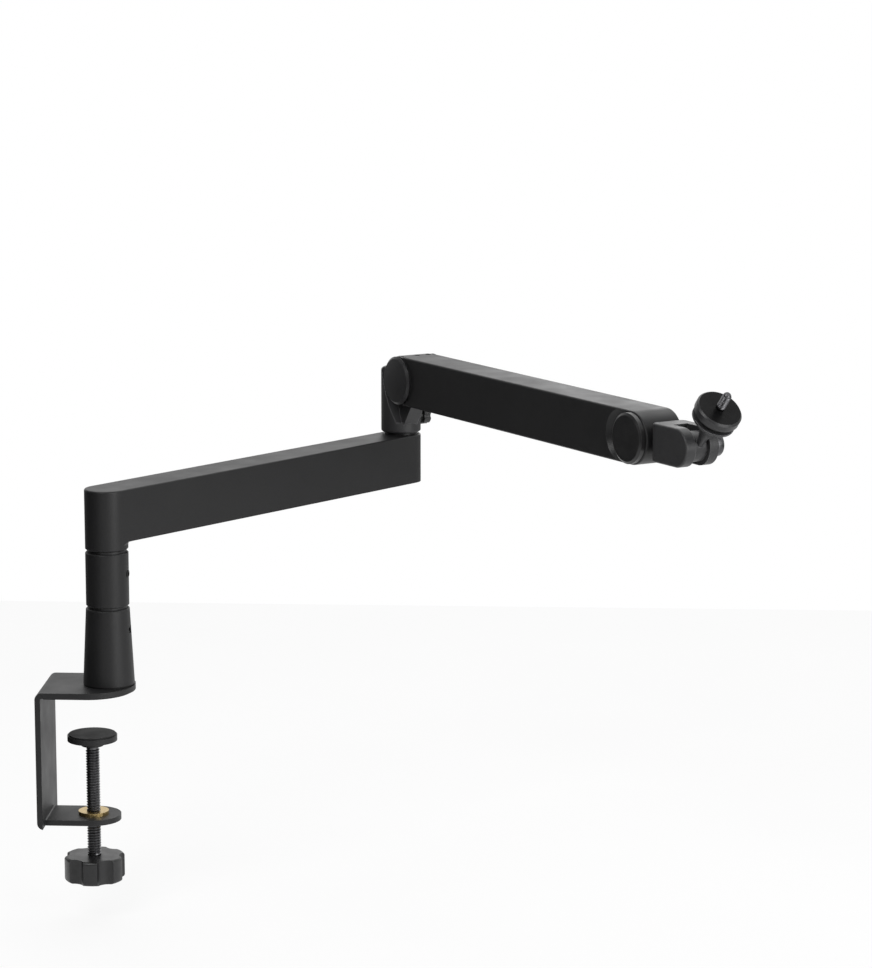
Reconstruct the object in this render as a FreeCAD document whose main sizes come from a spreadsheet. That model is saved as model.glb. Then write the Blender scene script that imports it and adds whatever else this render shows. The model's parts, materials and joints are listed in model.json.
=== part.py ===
import FreeCAD, Part
import math
import os
import Sketcher
from FreeCAD import Placement, Rotation, Vector

# Low-profile microphone boom arm on a desk clamp. Millimetres, +Z up, origin on the column's axis at
# the desk top, +X away from the clamp's back. Every size is a cell of the sheet below.

SIZES = {
    # Clearances: running fits, faces of moving pieces, covers in their channels, ends of cuts
    "run_gap": 0.06,
    "face_gap": 0.3,
    "cover_gap": 0.2,
    "cut_room": 1.5,
    # Arms: the same bar section in both
    "arm_w": 31,
    "arm_r": "=arm_w / 2",
    "arm_h": 38,
    "arm_half_h": "=arm_h / 2",
    "arm_wall": 2.6,
    "arm_edge": 1.2,
    "end_wall": 3.5,
    "chan_half": "=arm_r - arm_wall",
    "chan_h": "=arm_h - arm_wall",
    "cover_t": 2.2,
    "cover_half": "=chan_half - cover_gap",
    "low_yaw": 52.4,
    "up_yaw": -55.8,
    "low_len": 320,
    "up_span": 318,
    "arm_back": 3.3,
    "tilt_x": "=arm_half_h + arm_back",
    "head_x": "=tilt_x + up_span",
    # Desk clamp
    "pad_t": 1,
    "plate_t": 4,
    "plate_top": "=pad_t + plate_t",
    "plate_half": 32,
    "plate_back": 49,
    "plate_in": "=plate_back - plate_t",
    "plate_end_x": 13,
    "pad_margin": 2,
    "pad_back": "=plate_in - pad_margin",
    "pad_end_r": "=plate_half - pad_margin",
    "mouth_h": 92,
    "jaw_top": "=mouth_h",
    "jaw_low": "=mouth_h + plate_t",
    "jaw_end_r": 20,
    "back_h": "=jaw_low + plate_top",
    "bend_in_r": 1,
    "bend_r": "=bend_in_r + plate_t",
    "spindle_r": 5,
    "nut_wall": 2,
    "nut_r": "=spindle_r + nut_wall",
    "nut_bore": "=spindle_r + run_gap",
    "nut_tail": 3,
    "nut_low": "=plate_t + nut_tail",
    "nut_flange_w": 4,
    "nut_flange_r": "=nut_r + nut_flange_w",
    "nut_flange_h": 2.5,
    "tip_step": 1,
    "tip_r": "=spindle_r - tip_step",
    "foot_r": 18,
    "foot_t": 4,
    "foot_wall": 4,
    "foot_boss_r": "=tip_r + foot_wall",
    "foot_boss_h": 4,
    "foot_low": "=foot_t + foot_boss_h",
    "foot_roof": 1.5,
    "foot_bore": "=tip_r + run_gap",
    "foot_margin": 1,
    "foot_pad_r": "=foot_r - foot_margin",
    "desk_rest": 32,
    "foot_z": "=desk_rest + pad_t",
    "tip_top": "=foot_roof + face_gap",
    "tip_low": "=foot_low + face_gap",
    "clamp_rise": 22,
    "clamp_spare": 2,
    "grip_top": "=mouth_h + nut_low + clamp_rise + clamp_spare - foot_z",
    "grip_h": 18,
    "spindle_low": "=grip_top + grip_h",
    "grip_r": 22,
    "grip_cut_r": 8,
    "grip_bite": 4,
    "grip_cut_x": "=grip_r + grip_cut_r - grip_bite",
    "grip_edge": 2,
    "grip_lobes": 6,
    # Base and riser
    "ring_t": 1,
    "base_z": "=plate_top + ring_t",
    "base_lip": 0.2,
    "base_top_r": "=arm_r + base_lip",
    "base_flare": 2.85,
    "base_foot_r": "=base_top_r + base_flare",
    "ring_inset": 0.75,
    "ring_r": "=base_foot_r - ring_inset",
    "ring_margin": 1,
    "ring_in": "=bolt_ring + bolt_r + ring_margin",
    "base_h": 55.5,
    "base_top": "=base_z + base_h",
    "base_floor_t": 10,
    "base_floor": "=base_z + base_floor_t",
    "riser_wall": 5.5,
    "spigot_r": "=arm_r - riser_wall",
    "spigot_gap": 2,
    "spigot_low": "=base_floor + spigot_gap",
    "base_gap": 1.8,
    "riser_z": "=base_top + base_gap",
    "riser_h": 39.1,
    "riser_top": "=riser_z + riser_h",
    "riser_edge": 0.6,
    "washer_inset": 1.3,
    "washer_r": "=arm_r - washer_inset",
    "washer_room": 0.5,
    "washer_in": "=spigot_r + washer_room",
    "riser_floor_t": 3.7,
    "riser_floor": "=riser_z + riser_floor_t",
    "bush_wall": 2,
    "post_r": "=spigot_r - bush_wall",
    "bush_bore": "=post_r + run_gap",
    "swivel_gap": 2.1,
    "neck_z": "=riser_top + swivel_gap",
    "swivel_top": "=neck_z - face_gap",
    "post_low": "=riser_floor + face_gap",
    "post_top": "=low_z + arm_half_h",
    "groove_d": 1.2,
    "post_groove_r": "=post_r - groove_d",
    "screw_r": 3,
    "screw_room": 0.5,
    "post_groove_low": "=riser_screw_z - screw_r - screw_room",
    "post_groove_top": "=riser_screw_z + screw_r + screw_room",
    "bolt_r": 2.5,
    "bolt_ring": 10.5,
    "bolt_x": "=bolt_ring * cos(screw_yaw * 1 deg)",
    "bolt_y": "=-bolt_ring * sin(screw_yaw * 1 deg)",
    "bolt_room": 0.25,
    "bolt_hole": "=bolt_r + bolt_room",
    "bolt_head_w": 1.9,
    "bolt_head_r": "=bolt_r + bolt_head_w",
    "bolt_head_h": 2.4,
    "bolt_sink_r": "=bolt_head_r + face_gap",
    "bolt_sink_top": "=pad_t + bolt_head_h",
    "bolt_cover": 1.5,
    "bolt_tip": "=base_floor - bolt_cover",
    "bolt_len": "=bolt_tip - pad_t",
    "bolt_count": 3,
    "bolt_bore_top": "=bolt_tip + face_gap",
    "screw_hex": 1.6,
    "hex_d": 3,
    "screw_yaw": -8,
    "base_screw_down": 15.5,
    "base_screw_z": "=base_top - base_screw_down",
    "screw_sink": 0.6,
    "base_screw_end": "=base_top_r + base_flare * base_screw_down / base_h - screw_sink",
    "base_screw_hex": "=base_screw_end - hex_d",
    "riser_screw_up": 23.3,
    "riser_screw_z": "=riser_z + riser_screw_up",
    "riser_screw_tip": "=post_groove_r + face_gap",
    "screw_proud": 0.3,
    "riser_screw_end": "=arm_r + screw_proud",
    "riser_screw_hex": "=riser_screw_end - hex_d",
    "bush_hole": "=screw_r + screw_room",
    # Lower arm
    "neck_h": 5.8,
    "low_z": "=neck_z + neck_h",
    "low_top": "=low_z + arm_h",
    "neck_flare": 2.6,
    "flare_top": "=low_z + arm_wall",
    "flare_cut": "=arm_wall + neck_flare + cut_room",
    "trim_r": "=low_len + arm_w",
    "chan_start": "=arm_r + end_wall",
    "low_chan_end": "=low_len - chan_start",
    "post_bore_h": "=post_top - neck_z",
    "pin_floor": 5.7,
    "pin_low": "=low_z + pin_floor",
    "pin_bore_h": "=low_top - pin_low",
    "pin_big_r": 8,
    "pin_step": 2,
    "pin_r": "=pin_big_r - pin_step",
    "pin_groove_d": 0.8,
    "pin_groove_r": "=pin_r - pin_groove_d",
    "pin_groove_low": "=lock_z - lock_slot",
    "pin_groove_top": "=lock_z + lock_slot",
    "pin_top": "=elbow_bush_top - face_gap",
    "elbow_ring_in": "=pin_big_r + washer_room",
    "elbow_gap": 1.8,
    "knuckle_z": "=low_top + elbow_gap",
    "elbow_ring_top": "=knuckle_z - face_gap",
    "elbow_ring_r": "=arm_r - collar_edge - washer_inset",
    # Elbow
    "under_arm": 24.9,
    "up_mid": "=knuckle_z + under_arm + arm_half_h",
    "up_z": "=up_mid - arm_half_h",
    "up_top": "=up_mid + arm_half_h",
    "knuckle_rise": 7,
    "knuckle_h": "=up_mid + knuckle_rise - knuckle_z",
    "knuckle_edge": 2.5,
    "collar_edge": 1.6,
    "collar_h": 8.5,
    "cut_low_z": "=knuckle_z + collar_h",
    "collar_lip": 4.5,
    "cut_low_x": "=arm_r - collar_lip",
    "wall_top": 5.1,
    "cut_high_x": "=arm_r - wall_top",
    "cut_over": 21,
    "cut_high_z": "=up_mid + cut_over",
    "cut_far": "=arm_w",
    "lug_step": 4,
    "lug_r": "=arm_half_h - lug_step",
    "lug_w": 12,
    "lug_half": "=lug_w / 2",
    "lug_root": 2,
    "lug_base": "=cut_low_z - lug_root",
    "lug_left": 2,
    "lug_inset": 1,
    "lug_right": "=arm_r - lug_inset",
    "lug_front_turn": 32,
    "lug_back_turn": 20,
    "lug_tan_x": "=tilt_x + lug_r * cos(lug_front_turn * 1 deg)",
    "lug_tan_z": "=up_mid - lug_r * sin(lug_front_turn * 1 deg)",
    "lug_back_x": "=tilt_x - lug_r * cos(lug_back_turn * 1 deg)",
    "lug_back_z": "=up_mid - lug_r * sin(lug_back_turn * 1 deg)",
    "lug_foot_x": 1,
    "lug_foot_z": "=up_mid - lug_r - lug_inset",
    "lock_rise": 11,
    "lock_z": "=knuckle_z + lock_rise",
    "elbow_bush_wall": 1.5,
    "elbow_bush_r": "=pin_r + elbow_bush_wall",
    "elbow_bush_in": "=pin_r + run_gap",
    "elbow_bush_over": 6,
    "elbow_bush_h": "=lock_rise + elbow_bush_over",
    "elbow_bush_top": "=knuckle_z + elbow_bush_h",
    "lock_r": 2,
    "lock_bore": "=lock_r + run_gap",
    "lock_slot": "=lock_r + face_gap",
    "lock_tip": "=pin_groove_r + face_gap",
    "lock_neck": "=arm_r + face_gap",
    "lock_neck_h": 2.2,
    "lock_head": "=lock_neck + lock_neck_h",
    "lock_head_h": 5.6,
    "lock_face": "=lock_head + lock_head_h",
    "lock_cap": 2,
    "lock_end": "=lock_face - lock_cap",
    "lock_neck_w": 2.2,
    "lock_neck_r": "=lock_r + lock_neck_w",
    "lock_head_r": 7,
    "lock_cut_r": 2.4,
    "lock_bite": 1.2,
    "lock_cut_x": "=lock_head_r + lock_cut_r - lock_bite",
    "lock_lobes": 5,
    # Tilt pivot
    "axle_r": 5,
    "axle_bore": "=axle_r + run_gap",
    "axle_end": "=arm_r",
    "tilt_bush_r": "=axle_r + bush_wall",
    "disc_in": "=axle_r + face_gap",
    "disc_margin": 1,
    "disc_r": "=lug_r - disc_margin",
    "disc_t": 1,
    "disc_low": "=lug_half + face_gap",
    "fork_half": "=disc_low + disc_t",
    "fork_w": "=2 * fork_half",
    "fork_end": "=tilt_x + lug_r + cut_room",
    "fork_start": "=arm_back / 2",
    "fork_low": "=up_z - cut_room",
    "fork_top": "=up_mid + lug_r + cut_room",
    "cap_inset": 0.3,
    "cap_r": "=arm_half_h - cap_inset",
    "lap_gap": 0.8,
    "lap_r": "=cap_r + lap_gap",
    "lap_h": 3,
    "cap_in": "=arm_r - lap_h",
    "cap_proud": 3,
    "cap_out": "=arm_r + cap_proud",
    "cap_bevel": 1.3,
    "cap_face_r": "=cap_r - cap_bevel",
    "cap_bevel_h": 2.6,
    "cap_edge": "=cap_out - cap_bevel_h",
    "tension_along": 2.7,
    "tension_x": "=tilt_x + tension_along",
    "tension_r": 2.3,
    "tension_land": 0.2,
    "tension_y": "=cap_in - tension_r - tension_land",
    "tension_bore": "=up_top - fork_top + cut_room",
    "tension_z": "=fork_top",
    "tension_sink": 1.4,
    "tension_h": "=up_top - fork_top - tension_sink",
    # Upper arm's channel and head
    "chan_wall": 16.2,
    "up_chan_start": "=fork_end + chan_wall",
    "head_block": 42.3,
    "up_chan_end": "=head_x - head_block",
    "scoop_back": 12.8,
    "scoop_x": "=head_x - scoop_back",
    "scoop_rim": 0.4,
    "scoop_r": "=arm_half_h - scoop_rim",
    "scoop_h": 5,
    "scoop_slope": 4.7,
    "scoop_floor_r": "=scoop_r - scoop_slope",
    "scoop_floor": "=arm_r - scoop_h",
    "swivel_back": 9.7,
    "swivel_r": 5,
    "head_bush_r": "=swivel_r + bush_wall",
    "head_bush_in": "=swivel_r + run_gap",
    "head_bush_back": "=swivel_back + 2 * face_gap",
    "bush_sink": 1.8,
    "head_bush_front": "=arm_half_h - bush_sink",
    "head_bore_h": "=head_bush_back + arm_h",
    "head_bore_x": "=head_x - head_bush_back + head_bore_h",
    "knob_screw_r": 3,
    "tip_slot": "=knob_screw_r + face_gap",
    "insert_wall": 1.5,
    "insert_r": "=knob_screw_r + insert_wall",
    "insert_in": "=knob_screw_r + run_gap",
    "insert_low": "=head_bush_r + face_gap",
    "insert_hole": "=arm_r - swivel_r",
    "swivel_neck": 1.3,
    "swivel_cut_r": "=swivel_r - swivel_neck",
    "swivel_cut": "=knob_screw_r + face_gap",
    "knob_screw_tip": "=swivel_cut_r + face_gap",
    "knob_back": "=arm_r + face_gap",
    "knob_h": 4.45,
    "knob_face": "=knob_back + knob_h",
    "knob_inset": 1,
    "knob_r": "=arm_half_h - knob_inset",
    "knob_bevel": 1.8,
    "knob_face_r": "=knob_r - knob_bevel",
    "knob_bevel_h": 1.15,
    "knob_edge": "=knob_face - knob_bevel_h",
    "knob_cap": 1.75,
    "knob_screw_end": "=knob_face - knob_cap",
    # Head swivel and clevis, from the head's axis and from the hinge pin
    "boss_gap": 0.5,
    "boss_z": "=arm_half_h + boss_gap",
    "boss_r": 11,
    "boss_h": 1.5,
    "boss_top": "=boss_z + boss_h",
    "tang_h": 12,
    "tang_half": 4,
    "tang_tall": 8,
    "jaw_back": 29.4,
    "hinge_x": "=head_x + boss_top + jaw_back",
    "hub_w": 11.2,
    "hub_half": "=hub_w / 2",
    "hub_r": 10.7,
    "jaw_in": "=hub_half + face_gap",
    "jaw_wall": 8.1,
    "jaw_t": "=jaw_in + jaw_wall",
    "jaw_r": 13.6,
    "slot_deep": 2.8,
    "jaw_slot_x": "=hub_r + slot_deep",
    "jaw_reach": "=jaw_r + cut_room",
    "jaw_tang_x": "=jaw_back - tang_h",
    "jaw_plan_r": 4.5,
    "jaw_edge": 1.4,
    "jaw_deep": "=jaw_back + cut_room",
    "root_x": "=jaw_back - tang_h / 2",
    "root_z": "=boss_top + tang_h / 2",
    "root_r": 2,
    "root_cover": 3,
    "root_tip": "=jaw_t - root_cover",
    "root_head_w": 1.5,
    "root_head_r": "=root_r + root_head_w",
    "root_sink": 0.5,
    "root_head": "=jaw_t - root_sink",
    "hinge_r": 3,
    "hinge_bore": "=hinge_r + run_gap",
    "hinge_cover": 2,
    "hinge_tip": "=jaw_t - hinge_cover",
    "hinge_head_w": 5.5,
    "hinge_head_r": "=hinge_r + hinge_head_w",
    "hinge_head_h": 8,
    "hinge_head": "=jaw_t + hinge_head_h",
    "hinge_edge": 0.8,
    "hinge_insert_w": 2,
    "hinge_insert_r": "=hinge_r + hinge_insert_w",
    # Microphone mount, along the stem; the stem stands beside the hinge pin
    "stem_tilt": 40,
    "stem_off": 5,
    "stem_low": 4,
    "stem_r": 2.8,
    "stem_run": 1.8,
    "stem_neck": "=hub_r + stem_run",
    "stem_swell": 7,
    "stem_mid": "=stem_neck + stem_swell",
    "stem_mid_r": 4.6,
    "stem_rise": 6.5,
    "stem_bell": "=stem_mid + stem_rise",
    "stem_bell_r": 8.6,
    "stem_flare": 6.2,
    "flange_low": "=stem_bell + stem_flare",
    "flange_r": 15.5,
    "flange_t": 1.5,
    "flange_top": "=flange_low + flange_t",
    "gasket_inset": 2.8,
    "gasket_r": "=flange_r - gasket_inset",
    "gasket_t": 5.2,
    "gasket_top": "=flange_top + gasket_t",
    "wheel_z": "=gasket_top + face_gap",
    "wheel_h": 5.1,
    "wheel_top": "=wheel_z + wheel_h",
    "wheel_r": 16.4,
    "wheel_foot_bevel": 0.8,
    "wheel_foot_r": "=wheel_r - wheel_foot_bevel",
    "wheel_low": "=wheel_z + wheel_foot_bevel",
    "wheel_bevel": 1.2,
    "wheel_face_r": "=wheel_r - wheel_bevel",
    "wheel_bevel_h": 1.4,
    "wheel_high": "=wheel_top - wheel_bevel_h",
    "stud_r": 3.175,
    "shank_r": 3,
    "wheel_bore": "=shank_r + run_gap",
    "stud_deep": 8,
    "stud_low": "=flange_top - stud_deep",
    "stud_gap": 0.4,
    "stud_step": "=wheel_top + stud_gap",
    "stud_len": 13.6,
    "stud_top": "=stud_step + stud_len",
}

DOC = FreeCAD.newDocument("boom_arm")
SHEET = DOC.addObject("Spreadsheet::Sheet", "Sizes")
for row, (alias, entry) in enumerate(SIZES.items(), start=1):
    SHEET.set("A%d" % row, alias)
    SHEET.set("B%d" % row, str(entry))
    SHEET.setAlias("B%d" % row, alias)
DOC.recompute()

PIECES = []
NEAR = Rotation(Vector(1, 0, 0), 90)
FAR = Rotation(Vector(1, 0, 0), -90)
ALONG = Rotation(Vector(0, 1, 0), 90)


def size(key):
    """Value of a sheet cell; a leading minus sign turns it over."""
    if key == 0:
        return 0.0
    if key.startswith("-"):
        return -float(SHEET.get(key[1:]))
    return float(SHEET.get(key))


def cell(key):
    """Expression that reads a sheet cell."""
    if key.startswith("-"):
        return "-Sizes." + key[1:]
    return "Sizes." + key


def frame(x, y, yaw):
    return Placement(Vector(x, y, 0), Rotation(Vector(0, 0, 1), yaw))


def at(x=0, y=0, z=0, turn=None):
    return Placement(Vector(size(x), size(y), size(z)), turn or Rotation())


DESK = frame(0, 0, 0)
SCREW = frame(0, 0, size("screw_yaw"))
LOWER = frame(0, 0, size("low_yaw"))
ELBOW_X = size("low_len") * math.cos(math.radians(size("low_yaw")))
ELBOW_Y = size("low_len") * math.sin(math.radians(size("low_yaw")))
UPPER = frame(ELBOW_X, ELBOW_Y, size("up_yaw"))


def new_body(label, place):
    body = DOC.addObject("PartDesign::Body", label)
    body.Label = label
    body.Placement = place
    PIECES.append(body)
    return body


def attach(body, feature, plane, offsets):
    """Lay a feature on one of the body's base planes, moved by sheet cells along the plane's axes."""
    planes = [item for item in body.Origin.OriginFeatures if item.Role == plane]
    feature.AttachmentSupport = (planes[0], [""])
    feature.MapMode = "FlatFace"
    feature.AttachmentOffset = at(*offsets)
    for axis, key in zip("xyz", offsets):
        if key != 0:
            feature.setExpression("AttachmentOffset.Base." + axis, cell(key))


def new_sketch(body, plane, level):
    sketch = body.newObject("Sketcher::SketchObject", body.Name + "_sketch")
    attach(body, sketch, plane, (0, 0, level))
    return sketch


def hold_point(sketch, geo, spot, x, y):
    """Tie a point's two coordinates to sheet cells, or to an axis where they are zero."""
    for kind, axis, key in (("DistanceX", -2, x), ("DistanceY", -1, y)):
        if key == 0:
            sketch.addConstraint(Sketcher.Constraint("PointOnObject", geo, spot, axis))
        else:
            if key.startswith("-"):
                ends = (geo, spot, -1, 1)
            else:
                ends = (-1, 1, geo, spot)
            name = key.lstrip("-")
            index = sketch.addConstraint(Sketcher.Constraint(kind, *ends, size(name)))
            sketch.setExpression("Constraints[%d]" % index, cell(name))


def hold_radius(sketch, geo, radius):
    index = sketch.addConstraint(Sketcher.Constraint("Radius", geo, size(radius)))
    sketch.setExpression("Constraints[%d]" % index, cell(radius))


def polygon(body, plane, points, level=0):
    sketch = new_sketch(body, plane, level)
    corners = [Vector(size(x), size(y), 0) for x, y in points]
    count = len(corners)
    for i in range(count):
        sketch.addGeometry(Part.LineSegment(corners[i], corners[(i + 1) % count]), False)
    for i in range(count):
        sketch.addConstraint(Sketcher.Constraint("Coincident", i, 2, (i + 1) % count, 1))
    for i, (x, y) in enumerate(points):
        hold_point(sketch, i, 1, x, y)
    return sketch


def box(body, plane, x_low, x_high, y_low, y_high, level=0):
    points = [(x_low, y_low), (x_high, y_low), (x_high, y_high), (x_low, y_high)]
    return polygon(body, plane, points, level)


def add_circle(sketch, x, y, radius):
    ring = Part.Circle(Vector(size(x), size(y), 0), Vector(0, 0, 1), size(radius))
    geo = sketch.addGeometry(ring, False)
    hold_point(sketch, geo, 3, x, y)
    hold_radius(sketch, geo, radius)


def circle(body, plane, x, y, radius, level=0):
    sketch = new_sketch(body, plane, level)
    add_circle(sketch, x, y, radius)
    return sketch


def arc(sketch, x, y, radius, start, stop):
    ring = Part.Circle(Vector(x, y, 0), Vector(0, 0, 1), radius)
    return sketch.addGeometry(Part.ArcOfCircle(ring, start, stop), False)


def stadium(body, plane, start, stop, y, radius, level=0):
    """Two half circles joined by straight sides."""
    sketch = new_sketch(body, plane, level)
    r = size(radius)
    low = Vector(size(start), size(y), 0)
    high = Vector(size(stop), size(y), 0)
    rise = Vector(0, r, 0)
    left = arc(sketch, low.x, low.y, r, math.pi / 2, 3 * math.pi / 2)
    right = arc(sketch, high.x, high.y, r, -math.pi / 2, math.pi / 2)
    top = sketch.addGeometry(Part.LineSegment(low + rise, high + rise), False)
    foot = sketch.addGeometry(Part.LineSegment(low - rise, high - rise), False)
    for joint in ((left, 1, top, 1), (top, 2, right, 2), (right, 1, foot, 2), (foot, 1, left, 2)):
        sketch.addConstraint(Sketcher.Constraint("Tangent", *joint))
    sketch.addConstraint(Sketcher.Constraint("Equal", left, right))
    hold_point(sketch, left, 3, start, y)
    hold_point(sketch, right, 3, stop, y)
    hold_radius(sketch, left, radius)
    return sketch


def tongue(body, plane, flat, centre, radius, level=0):
    """Square at one end, a half circle at the other."""
    sketch = new_sketch(body, plane, level)
    r = size(radius)
    back = size(flat)
    mid = size(centre)
    top = sketch.addGeometry(Part.LineSegment(Vector(back, r, 0), Vector(mid, r, 0)), False)
    side = sketch.addGeometry(Part.LineSegment(Vector(back, -r, 0), Vector(back, r, 0)), False)
    foot = sketch.addGeometry(Part.LineSegment(Vector(back, -r, 0), Vector(mid, -r, 0)), False)
    end = arc(sketch, mid, 0, r, -math.pi / 2, math.pi / 2)
    sketch.addConstraint(Sketcher.Constraint("Tangent", top, 2, end, 2))
    sketch.addConstraint(Sketcher.Constraint("Tangent", foot, 2, end, 1))
    sketch.addConstraint(Sketcher.Constraint("Coincident", side, 2, top, 1))
    sketch.addConstraint(Sketcher.Constraint("Coincident", side, 1, foot, 1))
    sketch.addConstraint(Sketcher.Constraint("Vertical", side))
    sketch.addConstraint(Sketcher.Constraint("Horizontal", top))
    hold_point(sketch, end, 3, centre, 0)
    hold_radius(sketch, end, radius)
    name = flat.lstrip("-")
    index = sketch.addConstraint(Sketcher.Constraint("DistanceX", side, 1, -1, 1, size(name)))
    sketch.setExpression("Constraints[%d]" % index, cell(name))
    return sketch


def pad(body, sketch, length, side="One side", back=False):
    feature = body.newObject("PartDesign::Pad", body.Name + "_pad")
    feature.Profile = sketch
    feature.SideType = side
    feature.Reversed = back
    feature.setExpression("Length", cell(length))
    return feature


def pocket(body, sketch, length, back=False):
    feature = body.newObject("PartDesign::Pocket", body.Name + "_cut")
    feature.Profile = sketch
    feature.Reversed = back
    feature.setExpression("Length", cell(length))
    return feature


def through(body, sketch, side="One side", back=False):
    feature = body.newObject("PartDesign::Pocket", body.Name + "_hole")
    feature.Profile = sketch
    feature.SideType = side
    feature.Reversed = back
    feature.Type = "ThroughAll"
    return feature


def dish(body, plane, x, y, level, floor_radius, rim_radius, height):
    """Round hollow with a sloping wall, from its floor out to its rim."""
    feature = body.newObject("PartDesign::SubtractiveCone", body.Name + "_dish")
    attach(body, feature, plane, (x, y, level))
    feature.setExpression("Radius1", cell(floor_radius))
    feature.setExpression("Radius2", cell(rim_radius))
    feature.setExpression("Height", cell(height))
    return feature


def revolve(body, points):
    sketch = polygon(body, "XZ_Plane", points)
    feature = body.newObject("PartDesign::Revolution", body.Name + "_turn")
    feature.Profile = sketch
    feature.ReferenceAxis = (sketch, ["V_Axis"])
    feature.Angle = 360
    return feature


def turned(label, place, points):
    """Turned piece: (radius, height) corners around its own Z axis."""
    body = new_body(label, place)
    revolve(body, points)
    return body


def sleeve(label, place, inner, outer, low, high):
    return turned(label, place, [(inner, low), (outer, low), (outer, high), (inner, high)])


def rod(label, place, radius, low, high):
    return turned(label, place, [(0, low), (radius, low), (radius, high), (0, high)])


def repeat_round(body, feature, count):
    ring = body.newObject("PartDesign::PolarPattern", body.Name + "_ring")
    ring.Originals = [feature]
    ring.Axis = (feature.Profile[0], ["N_Axis"])
    ring.Angle = 360
    ring.setExpression("Occurrences", cell(count))
    body.Tip = ring
    return ring


def edge_names(shape, test):
    names = []
    for i, edge in enumerate(shape.Edges, start=1):
        if test(edge):
            names.append("Edge%d" % i)
    return names


def soften(body, kind, amount, test):
    """Fillet or chamfer the edges of the last feature that pass the test."""
    DOC.recompute()
    last = body.Tip
    feature = body.newObject("PartDesign::" + kind, body.Name + "_edge")
    feature.Base = (last, edge_names(last.Shape, test))
    if kind == "Fillet":
        feature.setExpression("Radius", cell(amount))
    else:
        feature.setExpression("Size", cell(amount))
    return feature


def near(a, b):
    return abs(a - b) < 0.01


def lies_at(**spans):
    """Test for edges that keep one coordinate: lies_at(z=5, x=-45)."""
    def test(edge):
        bounds = edge.BoundBox
        for axis, key in spans.items():
            low = getattr(bounds, axis.upper() + "Min")
            high = getattr(bounds, axis.upper() + "Max")
            if not (near(low, key) and near(high, key)):
                return False
        return True
    return test


def round_at(radius, height):
    """Test for the full circles of one radius at one height."""
    level = lies_at(z=size(height))

    def test(edge):
        return level(edge) and near(edge.BoundBox.XLength, 2 * size(radius))
    return test


def cylinder(name, radius, height, place):
    item = DOC.addObject("Part::Cylinder", name)
    item.setExpression("Radius", cell(radius))
    item.setExpression("Height", cell(height))
    item.Placement = place
    return item


def group(label, items):
    """Several identical fasteners that make one node."""
    bundle = DOC.addObject("Part::Compound", label)
    bundle.Label = label
    bundle.Links = items
    PIECES.append(bundle)
    return bundle


# Desk clamp
bracket = new_body("clamp_bracket", DESK)
top_plate = tongue(bracket, "XY_Plane", "-plate_back", "-plate_end_x", "plate_half", "pad_t")
pad(bracket, top_plate, "plate_t")
back_plate = box(bracket, "XY_Plane", "-plate_back", "-plate_in", "-plate_half", "plate_half", "-jaw_low")
pad(bracket, back_plate, "back_h")
low_jaw = tongue(bracket, "XY_Plane", "-plate_back", "-plate_end_x", "jaw_end_r", "-jaw_low")
pad(bracket, low_jaw, "plate_t")
pocket(bracket, circle(bracket, "XY_Plane", "-plate_end_x", 0, "nut_r", "-jaw_top"), "plate_t")
hole = pocket(bracket, circle(bracket, "XY_Plane", "bolt_ring", 0, "bolt_hole", "plate_top"), "plate_t")
repeat_round(bracket, hole, "bolt_count")
seat = circle(bracket, "XY_Plane", "bolt_ring", 0, "bolt_sink_r", "bolt_sink_top")
repeat_round(bracket, pocket(bracket, seat, "bolt_sink_top"), "bolt_count")
soften(bracket, "Fillet", "bend_r", lies_at(x=-size("plate_back"), z=size("plate_top")))
soften(bracket, "Fillet", "bend_r", lies_at(x=-size("plate_back"), z=-size("jaw_low")))
soften(bracket, "Fillet", "bend_in_r", lies_at(x=-size("plate_in"), z=size("pad_t")))
soften(bracket, "Fillet", "bend_in_r", lies_at(x=-size("plate_in"), z=-size("jaw_top")))

top_pad = new_body("clamp_top_pad", DESK)
pad(top_pad, tongue(top_pad, "XY_Plane", "-pad_back", "-plate_end_x", "pad_end_r"), "pad_t")

turned("clamp_nut", at("-plate_end_x", 0, "-jaw_top"), [
    ("nut_bore", "-nut_low"), ("nut_r", "-nut_low"), ("nut_r", 0),
    ("nut_flange_r", 0), ("nut_flange_r", "nut_flange_h"), ("nut_bore", "nut_flange_h")])

CLAMP = at("-plate_end_x", 0, "-foot_z")
turned("clamp_pressure_plate", CLAMP, [
    (0, 0), ("foot_r", 0), ("foot_r", "-foot_t"), ("foot_boss_r", "-foot_t"), ("foot_boss_r", "-foot_low"),
    ("foot_bore", "-foot_low"), ("foot_bore", "-foot_roof"), (0, "-foot_roof")])
rod("clamp_pressure_pad", CLAMP, "foot_pad_r", 0, "pad_t")
turned("clamp_spindle", CLAMP, [
    (0, "-tip_top"), ("tip_r", "-tip_top"), ("tip_r", "-tip_low"), ("spindle_r", "-tip_low"),
    ("spindle_r", "-spindle_low"), (0, "-spindle_low")])
grip = sleeve("clamp_knob", CLAMP, "spindle_r", "grip_r", "-spindle_low", "-grip_top")
soften(grip, "Fillet", "grip_edge", lambda edge: near(edge.BoundBox.XLength, 2 * size("grip_r")))
scallop = pocket(grip, circle(grip, "XY_Plane", "grip_cut_x", 0, "grip_cut_r", "-grip_top"), "grip_h")
repeat_round(grip, scallop, "grip_lobes")

# Base and riser
base = turned("base_socket", SCREW, [
    (0, "base_z"), ("base_foot_r", "base_z"), ("base_top_r", "base_top"), ("spigot_r", "base_top"),
    ("spigot_r", "base_floor"), (0, "base_floor")])
soften(base, "Chamfer", "riser_edge", round_at("base_top_r", "base_top"))
through(base, circle(base, "YZ_Plane", 0, "base_screw_z", "screw_r"), back=True)
tapping = circle(base, "XY_Plane", "bolt_x", "bolt_y", "bolt_r", "bolt_bore_top")
repeat_round(base, pocket(base, tapping, "bolt_bore_top"), "bolt_count")

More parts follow.
